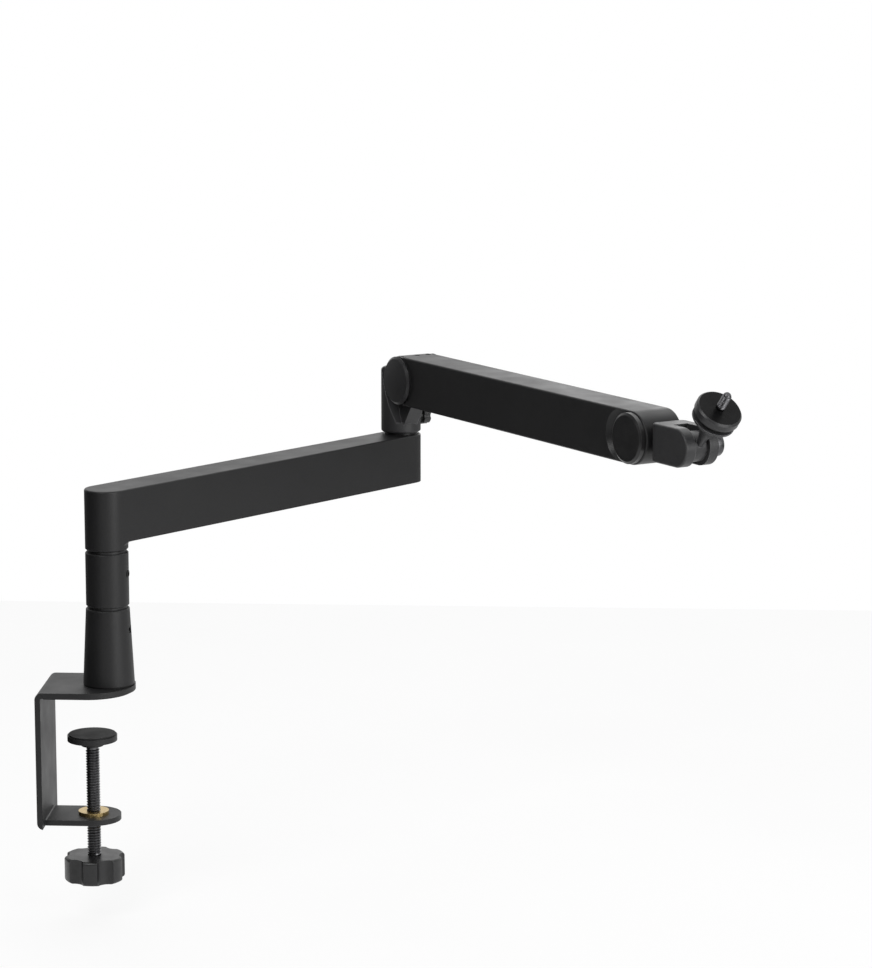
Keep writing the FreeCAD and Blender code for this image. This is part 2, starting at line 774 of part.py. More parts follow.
bolts = []
for i in range(int(size("bolt_count"))):
    turn = Rotation(Vector(0, 0, 1), i * 360 / size("bolt_count"))
    spot = turn.multVec(Vector(size("bolt_ring"), 0, size("pad_t")))
    head = cylinder("bolt_head", "bolt_head_r", "bolt_head_h", Placement(spot, Rotation()))
    shank = cylinder("bolt_shank", "bolt_r", "bolt_len", Placement(spot, Rotation()))
    bolt = DOC.addObject("Part::MultiFuse", "bolt")
    bolt.Shapes = [head, shank]
    bolts.append(bolt)
group("base_bolts", bolts)

sleeve("base_foot_ring", DESK, "ring_in", "ring_r", "plate_top", "base_z")
sleeve("base_washer", DESK, "spigot_r", "washer_r", "base_top", "riser_z")

riser = turned("riser_tube", SCREW, [
    (0, "spigot_low"), ("spigot_r", "spigot_low"), ("spigot_r", "riser_z"), ("arm_r", "riser_z"),
    ("arm_r", "riser_top"), ("spigot_r", "riser_top"), ("spigot_r", "riser_floor"), (0, "riser_floor")])
soften(riser, "Chamfer", "riser_edge", lambda edge: near(edge.BoundBox.XLength, size("arm_w")))
through(riser, circle(riser, "YZ_Plane", 0, "riser_screw_z", "screw_r"), back=True)

bush = sleeve("riser_bush", SCREW, "bush_bore", "spigot_r", "riser_floor", "riser_top")
through(bush, circle(bush, "YZ_Plane", 0, "riser_screw_z", "bush_hole"), back=True)

SET_SCREWS = {
    "base_lock_screw": ("base_screw_z", "spigot_r", "base_screw_end", "base_screw_hex"),
    "riser_lock_screw": ("riser_screw_z", "riser_screw_tip", "riser_screw_end", "riser_screw_hex"),
}
for label, (height, tip, end, floor) in SET_SCREWS.items():
    turned(label, SCREW.multiply(at(0, 0, height, ALONG)), [
        (0, tip), ("screw_r", tip), ("screw_r", end), ("screw_hex", end), ("screw_hex", floor), (0, floor)])

sleeve("swivel_washer", DESK, "washer_in", "washer_r", "riser_top", "swivel_top")

# Lower arm: the neck flares into the bar's underside, inside the bar's outline
low_arm = turned("lower_arm_shell", LOWER, [
    (0, "neck_z"), ("arm_r", "neck_z"), ("arm_r", "low_z"), ("chan_start", "low_z"),
    ("chan_start", "flare_top"), (0, "flare_top")])
soften(low_arm, "Chamfer", "riser_edge", round_at("arm_r", "neck_z"))
soften(low_arm, "Fillet", "neck_flare", round_at("arm_r", "low_z"))
outside = stadium(low_arm, "XY_Plane", 0, "low_len", 0, "arm_r", "flare_top")
add_circle(outside, 0, 0, "trim_r")
pocket(low_arm, outside, "flare_cut")
pad(low_arm, stadium(low_arm, "XY_Plane", 0, "low_len", 0, "arm_r", "low_z"), "arm_h")
channel = box(low_arm, "XY_Plane", "chan_start", "low_chan_end", "-chan_half", "chan_half", "low_z")
pocket(low_arm, channel, "chan_h", back=True)
soften(low_arm, "Fillet", "arm_edge", lies_at(z=size("low_top")))
pocket(low_arm, circle(low_arm, "XY_Plane", 0, 0, "post_r", "neck_z"), "post_bore_h", back=True)
pocket(low_arm, circle(low_arm, "XY_Plane", "low_len", 0, "pin_big_r", "low_top"), "pin_bore_h")

low_cover = new_body("lower_arm_cover", LOWER)
strip = box(low_cover, "XY_Plane", "chan_start", "low_chan_end", "-cover_half", "cover_half", "low_z")
pad(low_cover, strip, "cover_t")

turned("column_post", LOWER, [
    (0, "post_low"), ("post_r", "post_low"), ("post_r", "post_groove_low"),
    ("post_groove_r", "post_groove_low"), ("post_groove_r", "post_groove_top"),
    ("post_r", "post_groove_top"), ("post_r", "post_top"), (0, "post_top")])
turned("elbow_pin", UPPER, [
    (0, "pin_low"), ("pin_big_r", "pin_low"), ("pin_big_r", "low_top"), ("pin_r", "low_top"),
    ("pin_r", "pin_groove_low"), ("pin_groove_r", "pin_groove_low"), ("pin_groove_r", "pin_groove_top"),
    ("pin_r", "pin_groove_top"), ("pin_r", "pin_top"), (0, "pin_top")])
sleeve("elbow_washer", UPPER, "elbow_ring_in", "elbow_ring_r", "low_top", "elbow_ring_top")

# Elbow: collar and slanted back wall, then the tongue that stands in the upper arm's fork
knuckle = new_body("elbow_knuckle", UPPER)
pad(knuckle, circle(knuckle, "XY_Plane", 0, 0, "arm_r", "knuckle_z"), "knuckle_h")
soften(knuckle, "Fillet", "knuckle_edge", lies_at(z=size("knuckle_z") + size("knuckle_h")))
soften(knuckle, "Fillet", "collar_edge", lies_at(z=size("knuckle_z")))
through(knuckle, polygon(knuckle, "XZ_Plane", [
    ("cut_low_x", "cut_low_z"), ("cut_far", "cut_low_z"), ("cut_far", "cut_high_z"),
    ("-cut_high_x", "cut_high_z")]), side="Symmetric")
pad(knuckle, polygon(knuckle, "XZ_Plane", [
    ("-lug_left", "lug_base"), ("lug_right", "lug_base"), ("lug_tan_x", "lug_tan_z"), ("tilt_x", "up_mid"),
    ("lug_back_x", "lug_back_z"), ("-lug_foot_x", "lug_foot_z")]), "lug_w", side="Symmetric")
pad(knuckle, circle(knuckle, "XZ_Plane", "tilt_x", "up_mid", "lug_r"), "lug_w", side="Symmetric")
through(knuckle, circle(knuckle, "XZ_Plane", "tilt_x", "up_mid", "tilt_bush_r"), side="Symmetric")
pocket(knuckle, circle(knuckle, "XY_Plane", 0, 0, "elbow_bush_r", "knuckle_z"), "elbow_bush_h", back=True)
through(knuckle, circle(knuckle, "XZ_Plane", 0, "lock_z", "lock_bore"))

elbow_bush = sleeve("elbow_bush", UPPER, "elbow_bush_in", "elbow_bush_r", "knuckle_z", "elbow_bush_top")
through(elbow_bush, circle(elbow_bush, "XZ_Plane", 0, "lock_z", "lock_slot"))

LOCK = UPPER.multiply(at(0, 0, "lock_z", FAR))
rod("elbow_lock_screw", LOCK, "lock_r", "lock_tip", "lock_end")
lock_knob = turned("elbow_lock_knob", LOCK, [
    ("lock_r", "lock_neck"), ("lock_neck_r", "lock_neck"), ("lock_neck_r", "lock_head"),
    ("lock_head_r", "lock_head"), ("lock_head_r", "lock_face"), (0, "lock_face"), (0, "lock_end"),
    ("lock_r", "lock_end")])
bite = circle(lock_knob, "XY_Plane", "lock_cut_x", 0, "lock_cut_r", "lock_face")
repeat_round(lock_knob, pocket(lock_knob, bite, "lock_head_h"), "lock_lobes")

# Tilt pivot
TILT_NEAR = UPPER.multiply(at("tilt_x", 0, "up_mid", NEAR))
TILT_FAR = UPPER.multiply(at("tilt_x", 0, "up_mid", FAR))
sleeve("tilt_bush", TILT_NEAR, "axle_bore", "tilt_bush_r", "-lug_half", "lug_half")
rod("tilt_axle", TILT_NEAR, "axle_r", "-axle_end", "axle_end")
discs = []
for place in (TILT_NEAR, TILT_FAR):
    spot = place.multiply(at(0, 0, "disc_low"))
    outer = cylinder("disc_outer", "disc_r", "disc_t", spot)
    inner = cylinder("disc_inner", "disc_in", "disc_t", spot)
    disc = DOC.addObject("Part::Cut", "disc")
    disc.Base = outer
    disc.Tool = inner
    discs.append(disc)
group("tilt_washers", discs)
for label, place in (("tilt_cap_near", TILT_NEAR), ("tilt_cap_far", TILT_FAR)):
    turned(label, place, [
        ("axle_r", "cap_in"), ("cap_r", "cap_in"), ("cap_r", "cap_edge"), ("cap_face_r", "cap_out"),
        (0, "cap_out"), (0, "axle_end"), ("axle_r", "axle_end")])

# Upper arm
up_arm = new_body("upper_arm_shell", UPPER)
bar = stadium(up_arm, "XZ_Plane", "tilt_x", "head_x", "up_mid", "arm_half_h")
pad(up_arm, bar, "arm_w", side="Symmetric")
soften(up_arm, "Fillet", "arm_edge", lambda edge: near(edge.BoundBox.YLength, 0))
channel = box(up_arm, "XY_Plane", "up_chan_start", "up_chan_end", "-chan_half", "chan_half", "up_z")
pocket(up_arm, channel, "chan_h", back=True)
slot = box(up_arm, "XZ_Plane", "fork_start", "fork_end", "fork_low", "fork_top", "fork_half")
pocket(up_arm, slot, "fork_w")
pocket(up_arm, circle(up_arm, "XZ_Plane", "tilt_x", "up_mid", "lap_r", "arm_r"), "lap_h")
pocket(up_arm, circle(up_arm, "XZ_Plane", "tilt_x", "up_mid", "lap_r", "-arm_r"), "lap_h", back=True)
through(up_arm, circle(up_arm, "XZ_Plane", "tilt_x", "up_mid", "axle_r"), side="Symmetric")
for y in (0, "tension_y"):
    pocket(up_arm, circle(up_arm, "XY_Plane", "tension_x", y, "tension_r", "up_top"), "tension_bore")
dish(up_arm, "XZ_Plane", "scoop_x", "up_mid", "scoop_floor", "scoop_floor_r", "scoop_r", "scoop_h")
pocket(up_arm, circle(up_arm, "YZ_Plane", 0, "up_mid", "head_bush_r", "head_bore_x"), "head_bore_h")
pocket(up_arm, circle(up_arm, "XZ_Plane", "head_x", "up_mid", "insert_r", "arm_r"), "insert_hole")

up_cover = new_body("upper_arm_cover", UPPER)
strip = box(up_cover, "XY_Plane", "up_chan_start", "up_chan_end", "-cover_half", "cover_half", "up_z")
pad(up_cover, strip, "cover_t")

screws = []
for y in (0, "tension_y"):
    spot = UPPER.multiply(at("tension_x", y, "tension_z"))
    screws.append(cylinder("tension", "tension_r", "tension_h", spot))
group("tension_screws", screws)

HEAD = UPPER.multiply(at("head_x", 0, "up_mid", ALONG))
HEAD_NEAR = UPPER.multiply(at("head_x", 0, "up_mid", NEAR))
head_bush = sleeve("head_bush", HEAD, "head_bush_in", "head_bush_r", "-head_bush_back", "head_bush_front")
through(head_bush, circle(head_bush, "XZ_Plane", 0, 0, "tip_slot"), back=True)
sleeve("head_insert", HEAD_NEAR, "insert_in", "insert_r", "insert_low", "arm_r")

# Head
rod("head_knob_screw", HEAD_NEAR, "knob_screw_r", "knob_screw_tip", "knob_screw_end")
turned("head_knob", HEAD_NEAR, [
    ("knob_screw_r", "knob_back"), ("knob_r", "knob_back"), ("knob_r", "knob_edge"),
    ("knob_face_r", "knob_face"), (0, "knob_face"), (0, "knob_screw_end"),
    ("knob_screw_r", "knob_screw_end")])

swivel = turned("head_swivel", HEAD, [
    (0, "-swivel_back"), ("swivel_r", "-swivel_back"), ("swivel_r", "-swivel_cut"),
    ("swivel_cut_r", "-swivel_cut"), ("swivel_cut_r", "swivel_cut"), ("swivel_r", "swivel_cut"),
    ("swivel_r", "boss_z"), ("boss_r", "boss_z"), ("boss_r", "boss_top"), (0, "boss_top")])
tang = box(swivel, "XY_Plane", "-tang_tall", "tang_tall", "-tang_half", "tang_half", "boss_top")
pad(swivel, tang, "tang_h")
through(swivel, circle(swivel, "XZ_Plane", 0, "root_z", "root_r"), side="Symmetric")

HINGE = UPPER.multiply(at("hinge_x", 0, "up_mid"))
HINGE_NEAR = UPPER.multiply(at("hinge_x", 0, "up_mid", NEAR))
HINGE_FAR = UPPER.multiply(at("hinge_x", 0, "up_mid", FAR))
for label, back in (("clevis_front_jaw", False), ("clevis_rear_jaw", True)):
    sign = 1 if back else -1
    jaw = new_body(label, HINGE)
    pad(jaw, tongue(jaw, "XZ_Plane", "-jaw_back", 0, "jaw_r"), "jaw_t", back=back)
    soften(jaw, "Fillet", "jaw_plan_r", lies_at(x=-size("jaw_back"), y=sign * size("jaw_t")))
    soften(jaw, "Fillet", "jaw_edge", lies_at(y=sign * size("jaw_t")))
    hub_slot = box(jaw, "XZ_Plane", "-jaw_slot_x", "jaw_reach", "-jaw_reach", "jaw_reach")
    pocket(jaw, hub_slot, "jaw_in", back=not back)
    tang_slot = box(jaw, "XZ_Plane", "-jaw_deep", "-jaw_tang_x", "-tang_tall", "tang_tall")
    pocket(jaw, tang_slot, "tang_half", back=not back)
    pocket(jaw, circle(jaw, "XZ_Plane", "-root_x", 0, "root_r"), "root_tip", back=not back)
    if back:
        through(jaw, circle(jaw, "XZ_Plane", 0, 0, "hinge_r"))
        pocket(jaw, circle(jaw, "XZ_Plane", "-root_x", 0, "root_head_r", "-root_tip"), "jaw_t")
    else:
        pocket(jaw, circle(jaw, "XZ_Plane", 0, 0, "hinge_insert_r"), "hinge_tip", back=True)

turned("clevis_root_screw", HINGE_FAR.multiply(at("-root_x")), [
    (0, "-root_tip"), ("root_r", "-root_tip"), ("root_r", "root_tip"), ("root_head_r", "root_tip"),
    ("root_head_r", "root_head"), (0, "root_head")])
bolt = turned("clevis_bolt", HINGE_FAR, [
    (0, "-hinge_tip"), ("hinge_r", "-hinge_tip"), ("hinge_r", "jaw_t"), ("hinge_head_r", "jaw_t"),
    ("hinge_head_r", "hinge_head"), (0, "hinge_head")])
soften(bolt, "Chamfer", "hinge_edge", lies_at(z=size("hinge_head")))
sleeve("clevis_insert", HINGE_NEAR, "hinge_r", "hinge_insert_r", "jaw_in", "hinge_tip")

LEAN = Placement(Vector(), Rotation(Vector(0, 1, 0), size("stem_tilt")))
STEM = HINGE.multiply(LEAN).multiply(at("stem_off"))
stem = turned("mount_stem", STEM, [
    (0, "stem_low"), ("stem_r", "stem_low"), ("stem_r", "stem_neck"), ("stem_mid_r", "stem_mid"),
    ("stem_bell_r", "stem_bell"), ("flange_r", "flange_low"), ("flange_r", "flange_top"), (0, "flange_top")])
pad(stem, circle(stem, "XZ_Plane", "-stem_off", 0, "hub_r"), "hub_w", side="Symmetric")
through(stem, circle(stem, "XZ_Plane", "-stem_off", 0, "hinge_bore"), side="Symmetric")
pocket(stem, circle(stem, "XY_Plane", 0, 0, "shank_r", "flange_top"), "stud_deep")
turned("thread_stud", STEM, [
    (0, "stud_low"), ("shank_r", "stud_low"), ("shank_r", "stud_step"), ("stud_r", "stud_step"),
    ("stud_r", "stud_top"), (0, "stud_top")])
sleeve("mount_gasket", STEM, "shank_r", "gasket_r", "flange_top", "gasket_top")
turned("mount_wheel", STEM, [
    ("wheel_bore", "wheel_z"), ("wheel_foot_r", "wheel_z"), ("wheel_r", "wheel_low"),
    ("wheel_r", "wheel_high"), ("wheel_face_r", "wheel_top"), ("wheel_bore", "wheel_top")])

DOC.recompute()
os.makedirs("parts", exist_ok=True)
for item in DOC.Objects:
    if "Invalid" in item.State or "Error" in item.State:
        raise RuntimeError("%s did not rebuild" % item.Name)
for piece in PIECES:
    if piece.Shape.isNull() or not piece.Shape.isValid():
        raise RuntimeError("%s has no valid shape" % piece.Label)
    piece.Shape.exportStep("parts/%s.step" % piece.Label)
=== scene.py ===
import json
import math

import bmesh
import bpy
from mathutils import Matrix, Vector


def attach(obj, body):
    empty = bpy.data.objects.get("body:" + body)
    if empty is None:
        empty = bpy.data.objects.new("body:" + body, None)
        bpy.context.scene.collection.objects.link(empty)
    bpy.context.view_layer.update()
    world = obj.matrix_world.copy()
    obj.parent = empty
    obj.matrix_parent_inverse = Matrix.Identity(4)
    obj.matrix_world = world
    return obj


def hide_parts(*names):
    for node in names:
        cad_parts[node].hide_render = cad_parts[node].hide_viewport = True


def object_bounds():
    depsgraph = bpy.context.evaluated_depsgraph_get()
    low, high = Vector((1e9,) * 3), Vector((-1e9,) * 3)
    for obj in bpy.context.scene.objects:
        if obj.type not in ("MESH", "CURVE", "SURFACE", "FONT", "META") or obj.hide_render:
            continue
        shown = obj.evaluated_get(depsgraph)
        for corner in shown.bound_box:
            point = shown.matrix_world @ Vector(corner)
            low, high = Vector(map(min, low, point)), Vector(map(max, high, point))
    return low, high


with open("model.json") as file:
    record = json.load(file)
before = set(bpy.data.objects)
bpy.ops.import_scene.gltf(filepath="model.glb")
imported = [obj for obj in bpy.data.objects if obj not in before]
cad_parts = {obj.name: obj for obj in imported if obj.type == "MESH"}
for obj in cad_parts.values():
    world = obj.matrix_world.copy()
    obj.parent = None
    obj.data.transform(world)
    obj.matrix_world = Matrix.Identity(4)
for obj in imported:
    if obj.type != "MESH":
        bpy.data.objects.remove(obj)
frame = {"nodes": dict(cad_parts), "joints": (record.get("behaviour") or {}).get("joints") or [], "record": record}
NODES = frame["nodes"]
JOINTS = {joint["name"]: joint for joint in frame["joints"]}
CAD_LOW, CAD_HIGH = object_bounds()
MM = 0.001
TURN = 2 * math.pi
UP = (0, 0, 1)


def place(pos, axis):
    """Frame at a point with its Z along an axis, in metres."""
    turn = Vector(axis).normalized().to_track_quat("Z", "X").to_matrix().to_4x4()
    return Matrix.Translation(Vector(pos)) @ turn


def link(thing):
    bpy.context.scene.collection.objects.link(thing)


# Materials

# Noise scales, in cells per metre
COAT_SPECKLE = 1600
COAT_CLOUD = 45
COAT_PEEL = 2400
PLASTIC_SPECKLE = 320
PLASTIC_CLOUD = 120
TOOL_LINES = 900
FLOOR_CLOUD = 6
# Depths of the relief and radius of moulded edges, in mm
PEEL_DEPTH = 0.03
TOOL_DEPTH = 0.02
MOULD_EDGE = 0.3
# Shine of the coat, and the range of the normals' agreement that counts as an edge
COAT_SPECULAR = 0.32
EDGE_START = 0.8
EDGE_STOP = 0.995
# Colour sockets of the mix node, which shares its socket names with other types
MIX_UNDER = 6
MIX_OVER = 7
MIX_RESULT = 2


def new_shader(name):
    material = bpy.data.materials.new(name)
    material.use_nodes = True
    return material, material.node_tree, material.node_tree.nodes["Principled BSDF"]


def noise(tree, scale, detail, stretch=None):
    coords = tree.nodes.new("ShaderNodeTexCoord")
    source = coords.outputs["Object"]
    if stretch:
        mapping = tree.nodes.new("ShaderNodeMapping")
        mapping.inputs["Scale"].default_value = stretch
        tree.links.new(source, mapping.inputs["Vector"])
        source = mapping.outputs["Vector"]
    texture = tree.nodes.new("ShaderNodeTexNoise")
    texture.inputs["Scale"].default_value = scale
    texture.inputs["Detail"].default_value = detail
    tree.links.new(source, texture.inputs["Vector"])
    return texture.outputs["Fac"]


def spread(tree, value, low, high, start=0.3, stop=0.7):
    """Map a value to a range; the default span is that of noise."""
    span = tree.nodes.new("ShaderNodeMapRange")
    span.inputs["From Min"].default_value = start
    span.inputs["From Max"].default_value = stop
    span.inputs["To Min"].default_value = low
    span.inputs["To Max"].default_value = high
    tree.links.new(value, span.inputs["Value"])
    return span.outputs["Result"]


def tones(tree, value, dark, light, start=0.3, stop=0.7):
    """Map a noise value to a range of colours."""
    ramp = tree.nodes.new("ShaderNodeValToRGB")
    ramp.color_ramp.elements[0].position = start
    ramp.color_ramp.elements[1].position = stop
    ramp.color_ramp.elements[0].color = (*dark, 1)
    ramp.color_ramp.elements[1].color = (*light, 1)
    tree.links.new(value, ramp.inputs["Fac"])
    return ramp.outputs["Color"]


def rounded_normal(tree, radius):
    """Normal that turns smoothly round the edges."""
    bevel = tree.nodes.new("ShaderNodeBevel")
    bevel.samples = 4
    bevel.inputs["Radius"].default_value = radius
    return bevel.outputs["Normal"]


def edge_mask(tree, rounded):
    """About 0 on open faces and up to 1 along sharp edges."""
    geometry = tree.nodes.new("ShaderNodeNewGeometry")
    dot = tree.nodes.new("ShaderNodeVectorMath")
    dot.operation = "DOT_PRODUCT"
    tree.links.new(rounded, dot.inputs[0])
    tree.links.new(geometry.outputs["Normal"], dot.inputs[1])
    return spread(tree, dot.outputs["Value"], 1.0, 0.0, EDGE_START, EDGE_STOP)


def blend_tones(tree, mask, under, over):
    mix = tree.nodes.new("ShaderNodeMix")
    mix.data_type = "RGBA"
    tree.links.new(mask, mix.inputs["Factor"])
    tree.links.new(under, mix.inputs[MIX_UNDER])
    mix.inputs[MIX_OVER].default_value = (*over, 1)
    return mix.outputs[MIX_RESULT]


def bump(tree, shader, height, strength, depth, normal=None):
    node = tree.nodes.new("ShaderNodeBump")
    node.inputs["Strength"].default_value = strength
    node.inputs["Distance"].default_value = depth * MM
    tree.links.new(height, node.inputs["Height"])
    if normal:
        tree.links.new(normal, node.inputs["Normal"])
    tree.links.new(node.outputs["Normal"], shader.inputs["Normal"])


def grey(level):
    """Neutral black with a trace of blue."""
    return (level, level, level * 1.04)


def powder_coat(name, dark, light, wear_and_highlight, rough, edge=0.4):
    """Fine matte powder coat: speckle, soft orange peel, and edges in a lighter colour, which is rubbed wear and,
    where it is strong, a painted highlight.
    """
    material, tree, shader = new_shader(name)
    speckle = tones(tree, noise(tree, COAT_SPECKLE, 4), grey(dark), grey(light))
    rounded = rounded_normal(tree, edge * MM)
    # Lighter colour along the edges: rubbed wear, and a painted highlight where it is strong
    colour = blend_tones(tree, edge_mask(tree, rounded), speckle, grey(wear_and_highlight))
    tree.links.new(colour, shader.inputs["Base Color"])
    gloss = spread(tree, noise(tree, COAT_CLOUD, 2), rough - 0.04, rough + 0.05)
    tree.links.new(gloss, shader.inputs["Roughness"])
    bump(tree, shader, noise(tree, COAT_PEEL, 2), 0.16, PEEL_DEPTH, rounded)
    shader.inputs["Specular IOR Level"].default_value = COAT_SPECULAR
    return material


def moulded(name, dark, light, rough, grain, depth, specular=0.4):
    """Moulded plastic or rubber with a spark-eroded grain."""
    material, tree, shader = new_shader(name)
    speckle = tones(tree, noise(tree, PLASTIC_SPECKLE, 5), grey(dark), grey(light))
    tree.links.new(speckle, shader.inputs["Base Color"])
    gloss = spread(tree, noise(tree, PLASTIC_CLOUD, 3), rough - 0.05, rough + 0.06)
    tree.links.new(gloss, shader.inputs["Roughness"])
    bump(tree, shader, noise(tree, grain, 3), 0.3, depth, rounded_normal(tree, MOULD_EDGE * MM))
    shader.inputs["Specular IOR Level"].default_value = specular
    return material


def metal(name, dark, light, rough, stretch=(1, 1, 0.1)):
    """Turned or drawn metal with fine tool lines."""
    material, tree, shader = new_shader(name)
    lines = noise(tree, TOOL_LINES, 3, stretch)
    tree.links.new(tones(tree, lines, dark, light), shader.inputs["Base Color"])
    tree.links.new(spread(tree, lines, rough - 0.07, rough + 0.08), shader.inputs["Roughness"])
    bump(tree, shader, lines, 0.12, TOOL_DEPTH)
    shader.inputs["Metallic"].default_value = 1.0
    return material


FINISH = {
    "black_aluminium": powder_coat("arm_coat", dark=0.008, light=0.013, wear_and_highlight=0.03, rough=0.44),
    "black_steel": powder_coat("plate_coat", dark=0.009, light=0.015, wear_and_highlight=0.032, rough=0.48),
    "black_plastic": moulded("knob_plastic", dark=0.007, light=0.012, rough=0.36, grain=2600, depth=0.03,
                             specular=0.5),
    "bearing_plastic": moulded("bush_plastic", dark=0.004, light=0.008, rough=0.38, grain=1800, depth=0.02),
    "rubber": moulded("soft_rubber", dark=0.004, light=0.008, rough=0.7, grain=1500, depth=0.06),
    "steel": metal("dark_steel", dark=grey(0.06), light=grey(0.12), rough=0.34),
    "brass": metal("turned_brass", dark=(0.46, 0.33, 0.13), light=(0.62, 0.47, 0.22), rough=0.3,
                   stretch=(1, 1, 0.2)),
}
# The castings are a shade lighter than the bars; their strong, wide light edge colour is a painted highlight along
# with rubbed wear
CAST_COAT = powder_coat("cast_coat", dark=0.024, light=0.034, wear_and_highlight=0.16, rough=0.42, edge=0.7)
CASTINGS = ("elbow_knuckle", "clevis_front_jaw", "clevis_rear_jaw", "mount_stem")
# Finishes of detail pieces
CAP_COAT = powder_coat("cap_coat", dark=0.02, light=0.03, wear_and_highlight=0.05, rough=0.34)
# Near-black, dull finish of the wheel's face pad: painted shade
WHEEL_FACE_SHADE = moulded("wheel_face_painted_shade", dark=0.003, light=0.005, rough=0.3, grain=3000, depth=0.02, specular=0.08)
BLACKENED = metal("black_oxide", dark=grey(0.006), light=grey(0.014), rough=0.4)
for part in frame["record"]["subparts"]:
    finish = CAST_COAT if part["node"] in CASTINGS else FINISH[part["material_slot"]]
    node = NODES[part["node"]]
    node.data.materials.clear()
    node.data.materials.append(finish)


# Detail pieces

MERGE = 1e-6
SHARP = math.radians(32)
RING = 72
FINE_RING = 96
CAP_RING = 120
THREAD_RING = 36
SOCKET_LIP = 0.15


def add_piece(name, bm, matrix, slot, body, stands_for, finish=None):
    bmesh.ops.remove_doubles(bm, verts=bm.verts, dist=MERGE)
    bmesh.ops.recalc_face_normals(bm, faces=bm.faces)
    mesh = bpy.data.meshes.new(name)
    bm.to_mesh(mesh)
    bm.free()
    mesh.transform(matrix)
    for face in mesh.polygons:
        face.use_smooth = True
    mesh.set_sharp_from_angle(angle=SHARP)
    mesh.materials.append(finish or FINISH[slot])
    piece = bpy.data.objects.new(name, mesh)
    link(piece)
    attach(piece, body)
    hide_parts(stands_for)
    return piece


def add_point(bm, radius, angle, height):
    reach = radius * MM
    return bm.verts.new((reach * math.cos(angle), reach * math.sin(angle), height * MM))


def add_ring(bm, radius, height, count):
    return [add_point(bm, radius, TURN * i / count, height) for i in range(count)]


def bridge(bm, first, second):
    count = len(first)
    for i in range(count):
        j = (i + 1) % count
        bm.faces.new((first[i], first[j], second[j], second[i]))


def add_lathe(bm, profile, count):
    """Surface of revolution from (radius, height) corners in mm, closed at its first end."""
    rings = [add_ring(bm, radius, height, count) for radius, height in profile]
    for first, second in zip(rings, rings[1:]):
        bridge(bm, first, second)
    bm.faces.new(rings[0])
    return rings[-1]


def add_turned(bm, profile, count=RING):
    """Surface of revolution closed at both ends."""
    bm.faces.new(add_lathe(bm, profile, count))


def add_band(bm, profile, count):
    """Closed ring of revolution from (radius, height) corners in mm."""
    rings = [add_ring(bm, radius, height, count) for radius, height in profile]
    for first, second in zip(rings, rings[1:] + rings[:1]):
        bridge(bm, first, second)


def add_hex_ring(bm, reach, height, count):
    """Points spaced along the sides of a hexagon."""
    per_side = count // 6
    ring = []
    for i in range(count):
        side, step = divmod(i, per_side)
        a = TURN * side / 6
        b = TURN * (side + 1) / 6
        part = step / per_side
        x = reach * ((1 - part) * math.cos(a) + part * math.cos(b))
        y = reach * ((1 - part) * math.sin(a) + part * math.sin(b))
        ring.append(bm.verts.new((x * MM, y * MM, height * MM)))
    return ring


def add_socket_screw(bm, profile, hexagon, depth, count=RING):
    """Turned screw with a hexagon socket in its last face."""
    rim = add_lathe(bm, profile, count)
    top = profile[-1][1]
    mouth = add_hex_ring(bm, hexagon + SOCKET_LIP, top, count)
    lip = add_hex_ring(bm, hexagon, top - SOCKET_LIP, count)
    floor_ring = add_hex_ring(bm, hexagon, top - depth, count)
    bridge(bm, rim, mouth)
    bridge(bm, mouth, lip)
    bridge(bm, lip, floor_ring)
    bm.faces.new(floor_ring)


# One turn of a thread, as (part of the pitch, part of the depth), and how fast it runs out at its ends
THREAD_FORM = ((0.0, 0.0), (0.36, 1.0), (0.56, 1.0), (0.92, 0.0), (1.0, 0.0))
RUN_OUT = 1.5


def add_thread(bm, major, minor, pitch, low, high, count=THREAD_RING):
    """Helical thread that runs out at both ends, in mm."""
    steps = int((high - low - pitch) / pitch * count)
    columns = []
    for i in range(steps + 1):
        fade = min(1.0, i / count * RUN_OUT, (steps - i) / count * RUN_OUT)
        column = []
        for along, rise in THREAD_FORM:
            radius = minor + (major - minor) * rise * fade
            column.append(add_point(bm, radius, TURN * i / count, low + pitch * (i / count + along)))
        columns.append(column)
    for first, second in zip(columns, columns[1:]):
        for k in range(len(THREAD_FORM) - 1):
            bm.faces.new((first[k], second[k], second[k + 1], first[k + 1]))


# Microphone stud, in mm from the hinge along the stem
STUD_MAJOR = 3.175
STUD_CORE = 2.6
STUD_PITCH = 1.27
STUD = [(STUD_CORE, 25.7), (STUD_CORE, 57.5), (1.9, 58.3)]
stem_frame = place(JOINTS["wheel_spin"]["pos_m"], JOINTS["wheel_spin"]["axis"])
bm = bmesh.new()
add_turned(bm, STUD)
add_thread(bm, STUD_MAJOR, STUD_CORE, STUD_PITCH, low=44.7, high=57.9)
add_piece("mic_stud", bm, stem_frame, "steel", "stem", "thread_stud")

# Clamp screw, in mm down from the foot
CLAMP_MAJOR = 5.0
CLAMP_CORE = 4.2
CLAMP_PITCH = 2.0
CLAMP_TIP = 4.0
SPINDLE = [(CLAMP_CORE, -108), (CLAMP_CORE, -8.3), (CLAMP_TIP, -8.3), (CLAMP_TIP, -2.4), (3.4, -1.8)]
bm = bmesh.new()
add_turned(bm, SPINDLE)
add_thread(bm, CLAMP_MAJOR, CLAMP_CORE, CLAMP_PITCH, low=-91, high=-8.5)
clamp_frame = place(JOINTS["clamp_spin"]["pos_m"], UP)
add_piece("clamp_thread", bm, clamp_frame, "steel", "clamp_screw", "clamp_spindle")

